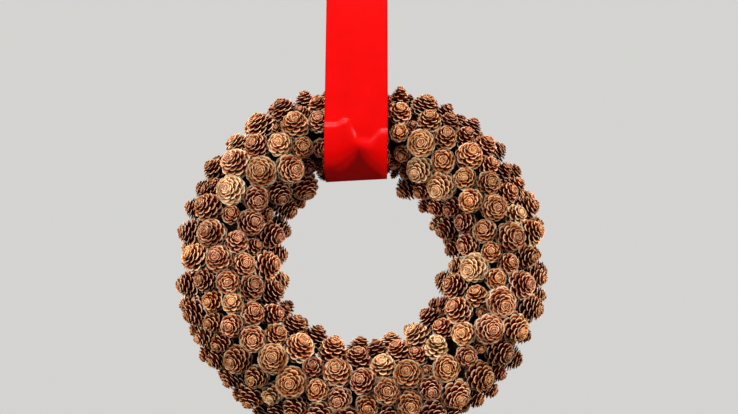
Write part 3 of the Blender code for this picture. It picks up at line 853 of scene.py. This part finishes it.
def make_ribbon(material):
    """The loop of satin ribbon: a long grid laid along its threads, closed end to end and thickened."""
    threads = [ribbon_line(i / RIBBON_ACROSS * 2 - 1) for i in range(RIBBON_ACROSS + 1)]
    rows = len(threads[0])
    bpy.ops.mesh.primitive_grid_add(x_subdivisions=RIBBON_ACROSS, y_subdivisions=rows - 1, size=2)
    ribbon = named("ribbon_loop")
    middle = threads[RIBBON_ACROSS // 2]
    runs = np.concatenate([[0], np.cumsum(np.linalg.norm(np.diff(middle, axis=0), axis=1))])
    across, along = [], []
    for vertex in ribbon.data.vertices:
        column = round((vertex.co.x + 1) / 2 * RIBBON_ACROSS)
        row = round((vertex.co.y + 1) / 2 * (rows - 1))
        vertex.co = threads[column][row]
        across.append((column / RIBBON_ACROSS - 0.5) * RIBBON_WIDTH)
        along.append(runs[row])
    fill(ribbon.data, across=across, along=along)
    faces_out(ribbon, merge=1e-5)
    thickened(ribbon, LOOP_THICKNESS, 1)
    bpy.ops.object.shade_smooth_by_angle(angle=SATIN_SHADE)
    finished(ribbon, material)
    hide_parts("ribbon")
    lap, stitches = make_lap(material), make_stitches(stitch_material())


# The ribbon's ends lap behind the wreath's top, where two lines of stitches hold them.
LAP_THICKNESS = RIBBON_THICKNESS * 0.6
LAP_FOOT = -0.105  # height of the lap's lower end
LAP_LENGTH = 0.026
LAP_LIFT = LOOP_THICKNESS + 0.00005  # of the lap off the loop's own line
LAP_SHARE = 0.996  # of the ribbon's width
LAP_GRID = (24, 14)
HEM = 0.0006  # thickness that the edge turned under adds
HEM_TOP, HEM_EDGE = 0.16, 0.10  # share of the lap up to which it reaches, and over which it thins out
RIPPLE, RIPPLE_WAVES, RIPPLE_START = 0.00018, 7, 2  # height of the ripple in the lap, and its angles across
STITCH_LINES = (0.18, 0.82)  # places along the lap
STITCHES = 19  # in a line
STITCHED_SHARE = 0.95  # of the ribbon's width
STITCH_SIZE = (0.0021, 0.00057, 0.00038)
STITCH_CELLS = 7  # stitches across their share of the map


def behind_wreath(across, height, lift):
    """A point on the back run of the loop at a share of its half width and a height, lifted off it."""
    line = ribbon_line(across)[-BACK_STEPS:]
    x, y = np.interp(height, line[:, 2], line[:, 0]), np.interp(height, line[:, 2], line[:, 1])
    return Vector((x, y + lift, height))


def make_lap(material):
    """The ribbon's free end, laid over its other end, with its cut edge turned under."""
    bpy.ops.mesh.primitive_grid_add(x_subdivisions=LAP_GRID[0], y_subdivisions=LAP_GRID[1], size=2)
    lap = named("ribbon_lap")
    across, along = [], []
    for vertex in lap.data.vertices:
        side, share = vertex.co.x, (vertex.co.y + 1) / 2
        hem = HEM * smooth((HEM_TOP - share) / HEM_EDGE)
        ripple = abs(RIPPLE * math.sin(RIPPLE_WAVES * side + RIPPLE_START) * (1 - share))
        height = LAP_FOOT + share * LAP_LENGTH
        vertex.co = behind_wreath(side * LAP_SHARE, height, LAP_LIFT + hem + ripple)
        across.append(side * RIBBON_WIDTH / 2)
        along.append(share * LAP_LENGTH)
    fill(lap.data, across=across, along=along)
    thickened(lap, LAP_THICKNESS, -1)
    faces_out(lap)
    bpy.ops.object.shade_smooth_by_angle(angle=SATIN_SHADE)
    finished(lap, material)
    return lap


def make_stitches(material):
    """The two lines of stitches across the lap."""
    bpy.ops.mesh.primitive_uv_sphere_add(segments=8, ring_count=6, radius=0.5)
    blank = taken_off(bpy.context.object)
    blank.uv_layers[0].name = "OFBake"
    stitches = []
    for line in STITCH_LINES:
        for k in range(STITCHES):
            side = ((k + 0.5) / STITCHES * 2 - 1) * STITCHED_SHARE
            place = behind_wreath(side, LAP_FOOT + line * LAP_LENGTH, LAP_LIFT + LAP_THICKNESS)
            stitch = copied(blank, Matrix.Translation(place) @ Matrix.Diagonal((*STITCH_SIZE, 1)))
            in_cell(stitch.data, len(stitches), STITCH_CELLS)
            stitches.append(stitch)
    thread = joined(stitches, "ribbon_stitches")
    bpy.ops.object.shade_smooth()
    finished(thread, material)
    return thread


# Materials. A measure such as a noise's size or a relief's depth is in metres.


def new_material(name):
    material = bpy.data.materials.new(name)
    material.use_nodes = True
    return material, material.node_tree, material.node_tree.nodes["Principled BSDF"]


def node(tree, kind, **values):
    made = tree.nodes.new("ShaderNode" + kind)
    for name, value in values.items():
        setattr(made, name, value)
    return made


def put(tree, socket, value):
    """Sets a socket to a number or a colour, or links it to another node."""
    if isinstance(value, (int, float)):
        socket.default_value = value
    elif isinstance(value, tuple):
        socket.default_value = (*value, 1)
    else:
        tree.links.new(value, socket)


def set_inputs(tree, made, **values):
    """Sets a node's sockets by their names, with _ for each space."""
    for name, value in values.items():
        put(tree, made.inputs[name.replace("_", " ")], value)


def ramp(tree, source, stops):
    made = node(tree, "ValToRGB")
    line = made.color_ramp
    while len(line.elements) > 1:
        line.elements.remove(line.elements[-1])
    line.elements[0].position = stops[0][0]
    line.elements[0].color = (*stops[0][1], 1)
    for place, colour in stops[1:]:
        line.elements.new(place).color = (*colour, 1)
    tree.links.new(source, made.inputs["Fac"])
    return made.outputs["Color"]


def reading(tree, *names):
    """What the mesh says at each point under these names."""
    return [node(tree, "Attribute", attribute_name=name).outputs["Fac"] for name in names]


def maths(tree, operation, *values):
    made = node(tree, "Math", operation=operation)
    for socket, value in zip(made.inputs, values):
        put(tree, socket, value)
    return made.outputs[0]


def plus(tree, first, second, share=1.0):
    """The first value, and a share of the second one."""
    return maths(tree, "MULTIPLY_ADD", second, share, first)


def blended(tree, share, first, second, kind="MIX"):
    made = node(tree, "Mix", data_type="RGBA", blend_type=kind)
    for socket, value in zip((made.inputs[0], made.inputs[6], made.inputs[7]), (share, first, second)):
        put(tree, socket, value)
    return made.outputs[2]


def ranged(tree, source, low, high, top=1.0, curve="SMOOTHSTEP"):
    """0 up to one value of the source, rising to a top at another one."""
    made = node(tree, "MapRange", interpolation_type=curve)
    set_inputs(tree, made, Value=source, From_Min=low, From_Max=high, To_Max=top)
    return made.outputs[0]


def object_place(tree):
    return node(tree, "TexCoord").outputs["Object"]


def noise(tree, size, detail, place=None):
    made = node(tree, "TexNoise")
    set_inputs(tree, made, Vector=place or object_place(tree), Scale=1 / size, Detail=detail)
    return made.outputs["Fac"]


def relief(tree, height, strength, depth):
    """The way a surface faces, with small heights pressed into it."""
    made = node(tree, "Bump")
    set_inputs(tree, made, Height=height, Strength=strength, Distance=depth)
    return made.outputs[0]


def scale_material():
    """Dry woody scales: red-brown and orange-brown faces, cream rims, and painted shade darkening them to
    near black at the root.
    """
    material, tree, shader = new_material("cone_scales")
    along, tone, warmth, paleness, height = reading(tree, "along", "tone", "warmth", "paleness", "height")
    grain, patches = noise(tree, 0.0014, 4), noise(tree, 0.006, 2)
    place = plus(tree, plus(tree, along, grain, 0.30), tone, 0.10)
    place = plus(tree, place, -0.20)
    # Along each scale: near black at the root, which is painted shade where the scales above overlap it,
    # then red-brown and orange-brown across the face, and the scale's own cream at the rim.
    outer = ramp(tree, place, (
        (0.50, (0.058, 0.0026, 0.0005)),
        (0.69, (0.180, 0.0150, 0.0034)),
        (0.82, (0.470, 0.0880, 0.0260)),
        (0.88, (0.820, 0.3400, 0.1450)),
        (0.94, (0.990, 0.8200, 0.5800)),
    ))
    brown = ramp(tree, place, (
        (0.52, (0.052, 0.0022, 0.0005)),
        (0.71, (0.150, 0.0110, 0.0028)),
        (0.84, (0.390, 0.0560, 0.0170)),
        (0.92, (0.700, 0.2250, 0.0920)),
        (0.98, (0.980, 0.6800, 0.4600)),
    ))
    golden = ramp(tree, place, (
        (0.50, (0.075, 0.0040, 0.0005)),
        (0.69, (0.260, 0.0250, 0.0034)),
        (0.83, (0.640, 0.1350, 0.0230)),
        (0.91, (0.900, 0.3700, 0.1050)),
        (0.97, (0.990, 0.7800, 0.4400)),
    ))
    bleached = ramp(tree, place, (
        (0.50, (0.110, 0.0280, 0.0050)),
        (0.68, (0.430, 0.1900, 0.0500)),
        (0.84, (0.840, 0.5400, 0.2200)),
        (0.97, (0.990, 0.8300, 0.5400)),
    ))
    upper = ranged(tree, plus(tree, height, paleness, -0.10), 0.34, 0.62)
    colour = blended(tree, upper, outer, blended(tree, warmth, brown, golden))
    colour = blended(tree, ranged(tree, paleness, 0.86, 1.0, 0.7, "LINEAR"), colour, bleached)
    for source, least, more in ((tone, 0.68, 0.64), (patches, 0.76, 0.48), (paleness, 0.72, 0.54)):
        colour = blended(tree, 1.0, colour, plus(tree, least, source, more), "MULTIPLY")
    # Darker and browner towards the cone's foot: painted shade on the lowest scales, which sit deep in the
    # crevices between the cones.
    foot = ramp(tree, height, ((0.20, (0.50, 0.33, 0.24)), (0.34, (1.0, 0.98, 0.95))))
    set_inputs(
        tree, shader, Base_Color=blended(tree, 1.0, colour, foot, "MULTIPLY"), Roughness=0.7,
        Specular_IOR_Level=0, Coat_Weight=0.04, Coat_Roughness=0.4,
        Normal=relief(tree, grain, 0.35, 0.0004),
    )
    return material


WARP, WEFT = 0.00045, 0.0009  # between the satin's threads along and across it
SELVAGE = (0.955, 0.965)  # shares of the half width between which the firmer woven edge starts


def satin_material():
    """Red satin: a smooth dense face with fine threads along and across it, and a firmer woven edge."""
    material, tree, shader = new_material("red_satin")
    across, along = reading(tree, "across", "along")
    reds = ((0.30, (0.715, 0.0006, 0.0004)), (0.70, (0.785, 0.0010, 0.0006)))
    red = ramp(tree, noise(tree, 0.02, 2), reds)
    side = maths(tree, "DIVIDE", maths(tree, "ABSOLUTE", across), RIBBON_WIDTH / 2)
    woven = ramp(tree, side, ((SELVAGE[0], (1.0, 1.0, 1.0)), (SELVAGE[1], (0.80, 0.80, 0.80))))
    warp, weft = (
        maths(tree, "SINE", maths(tree, "MULTIPLY", place, math.tau / spacing))
        for place, spacing in ((across, WARP), (along, WEFT))
    )
    weave = plus(tree, maths(tree, "MULTIPLY", warp, 0.6), weft, 0.4)
    set_inputs(
        tree, shader, Base_Color=blended(tree, 1.0, red, woven, "MULTIPLY"), Roughness=0.5,
        Specular_IOR_Level=0, Coat_Weight=0.088, Coat_IOR=2.0, Coat_Roughness=0.23,
        Normal=relief(tree, weave, 0.10, 0.00005),
    )
    return material


def glue_material():
    """Set hot glue: cloudy amber, darker where dust has caught in it."""
    material, tree, shader = new_material("hot_glue")
    cloud = noise(tree, 0.004, 4)
    colour = ramp(tree, cloud, (
        (0.30, (0.060, 0.022, 0.0060)),
        (0.55, (0.150, 0.064, 0.0180)),
        (0.80, (0.260, 0.135, 0.0480)),
    ))
    roughness, normal = plus(tree, 0.25, cloud, 0.3), relief(tree, cloud, 0.3, 0.0005)
    set_inputs(tree, shader, Base_Color=colour, Roughness=roughness, Normal=normal)
    return material


def stitch_material():
    """Dark red thread, twisted."""
    material, tree, shader = new_material("stitch_thread")
    twist = node(tree, "TexWave")
    set_inputs(tree, twist, Scale=1800, Distortion=1.5, Vector=object_place(tree))
    stops = ((0.2, (0.180, 0.0012, 0.0010)), (0.8, (0.480, 0.0040, 0.0030)))
    set_inputs(tree, shader, Base_Color=ramp(tree, twist.outputs["Fac"], stops), Roughness=0.55)
    return material


CREASE = 0.0009  # between the crepe tape's creases


def tape_material():
    """Dark brown crepe tape, kept near black as painted shade in the gaps between the cones: fine creases
    across its length, each turn a little lighter or darker, and worn at its edge."""
    material, tree, shader = new_material("wrapped_foam")
    tone, tape, length = reading(tree, "tone", "tape", "length")
    place = node(tree, "CombineXYZ")
    for socket, source, stretch in zip(place.inputs, (length, tape, tone), (1 / CREASE, 3.0, 40.0)):
        put(tree, socket, maths(tree, "MULTIPLY", source, stretch))
    crepe = noise(tree, 1.0, 4, place.outputs[0])
    shade = plus(tree, maths(tree, "MULTIPLY", crepe, 0.5), noise(tree, 0.012, 5), 0.5)
    shade = plus(tree, plus(tree, shade, tone, 0.22), -0.11)
    worn = plus(tree, shade, ranged(tree, tape, 0.88, 0.98, 0.16))
    # Near black to dark brown: the tape's own dark brown, taken darker so that it stands in for the deep
    # shade between the cones.
    colour = ramp(tree, worn, (
        (0.28, (0.012, 0.0040, 0.0020)),
        (0.50, (0.034, 0.0125, 0.0062)),
        (0.72, (0.074, 0.0320, 0.0165)),
        (0.90, (0.125, 0.0640, 0.0350)),
    ))
    set_inputs(
        tree, shader, Base_Color=colour, Roughness=0.8, Specular_IOR_Level=0.15,
        Normal=relief(tree, crepe, 0.6, 0.0003),
    )
    return material


# Camera, lights and backdrop.

CAMERA_DISTANCE = 1.045  # from the wreath's centre
CAMERA_RISE = math.radians(-7.5)  # the camera is a little below that
CAMERA_LENS, SENSOR = 53.6585, 36
CAMERA_TILT = math.radians(2.8103)  # up past the wreath's centre
CAMERA_PAN = math.radians(-0.3646)  # aside of it
BACKDROP = (0.66, 0.655, 0.64)
FLOOR_HEIGHT = -0.80
# The lamps, which all face the wreath's centre, as (name, place, size, power).
LAMPS = (
    ("left", (-1.00, -1.05, 0.12), (0.5, 0.5), 11.8),
    ("right", (1.10, -1.00, 0.06), (0.5, 0.5), 10.6),
    ("top", (-0.05, -0.42, 0.90), (0.62, 0.16), 5.5),
    ("top_left", (-0.72, -0.36, 0.91), (0.25, 0.2), 3),
    ("top_right", (0.97, -0.43, 0.65), (0.25, 0.2), 3),
    ("back_left", (-1.25, 0.75, 0.30), (0.6, 0.6), 12),
    ("back_right", (1.30, 0.70, 0.40), (0.6, 0.6), 12),
)


def placed(name, data, place):
    holder = bpy.data.objects.new(name, data)
    bpy.context.scene.collection.objects.link(holder)
    holder.location = place
    return holder


def set_camera():
    camera = bpy.data.cameras.new("camera")
    camera.sensor_width = SENSOR
    camera.lens = CAMERA_LENS
    back = Vector((0, -math.cos(CAMERA_RISE), math.sin(CAMERA_RISE)))
    holder = placed("camera", camera, RING_CENTRE + CAMERA_DISTANCE * back)
    holder.rotation_euler = (math.pi / 2 - CAMERA_RISE + CAMERA_TILT, 0, CAMERA_PAN)
    bpy.context.scene.camera = holder


def seen_straight(tree):
    """1 on what the camera sees directly or through glass, and 0 on what only lights the wreath."""
    paths = node(tree, "LightPath").outputs
    return maths(tree, "MAXIMUM", paths["Is Camera Ray"], paths["Is Transmission Ray"])


def set_lights():
    """Soft lights before, above and behind the wreath, and a pale room round it that is darker below."""
    world = bpy.data.worlds.new("studio")
    bpy.context.scene.world = world
    world.use_nodes = True
    tree = world.node_tree
    height = node(tree, "SeparateXYZ")
    tree.links.new(node(tree, "TexCoord").outputs["Generated"], height.inputs[0])
    height = plus(tree, 0.5, height.outputs["Z"], 0.5)
    room = ramp(tree, height, ((0.35, (0.05, 0.05, 0.05)), (0.80, (0.30, 0.30, 0.31))))
    set_inputs(tree, tree.nodes["Background"], Color=blended(tree, seen_straight(tree), room, BACKDROP))
    for name, place, size, power in LAMPS:
        lamp = bpy.data.lights.new(name, "AREA")
        lamp.shape = "RECTANGLE"
        lamp.size, lamp.size_y = size
        lamp.energy = power
        facing = RING_CENTRE - Vector(place)
        placed(name, lamp, place).rotation_euler = facing.to_track_quat("-Z", "Y").to_euler()


def pale_stage():
    """A floor of pale paper below the wreath, which throws only a little light back up."""
    material, tree, shader = new_material("pale_paper")
    seen = seen_straight(tree)
    paper = blended(tree, seen, (0.14, 0.14, 0.14), (0.18, 0.18, 0.18))
    glow = blended(tree, seen, (0.0, 0.0, 0.0), BACKDROP)
    set_inputs(
        tree, shader, Base_Color=paper, Emission_Color=glow, Emission_Strength=0.9, Roughness=0.9,
        Specular_IOR_Level=0,
    )
    bpy.ops.mesh.primitive_plane_add(size=30, location=(0, 0, FLOOR_HEIGHT))
    floor = bpy.context.object
    floor.name = "floor"
    floor.data.materials.append(material)


def main():
    feet, tips, radii, rows = settled_cones()
    cone_groups(feet, tips, radii, rows, scale_material())
    make_glue(feet, radii, glue_material())
    make_wrapped_ring(tape_material())
    make_ribbon(satin_material())
    set_camera()
    set_lights()
    pale_stage()
    bpy.context.scene.view_settings.view_transform = "Standard"


main()
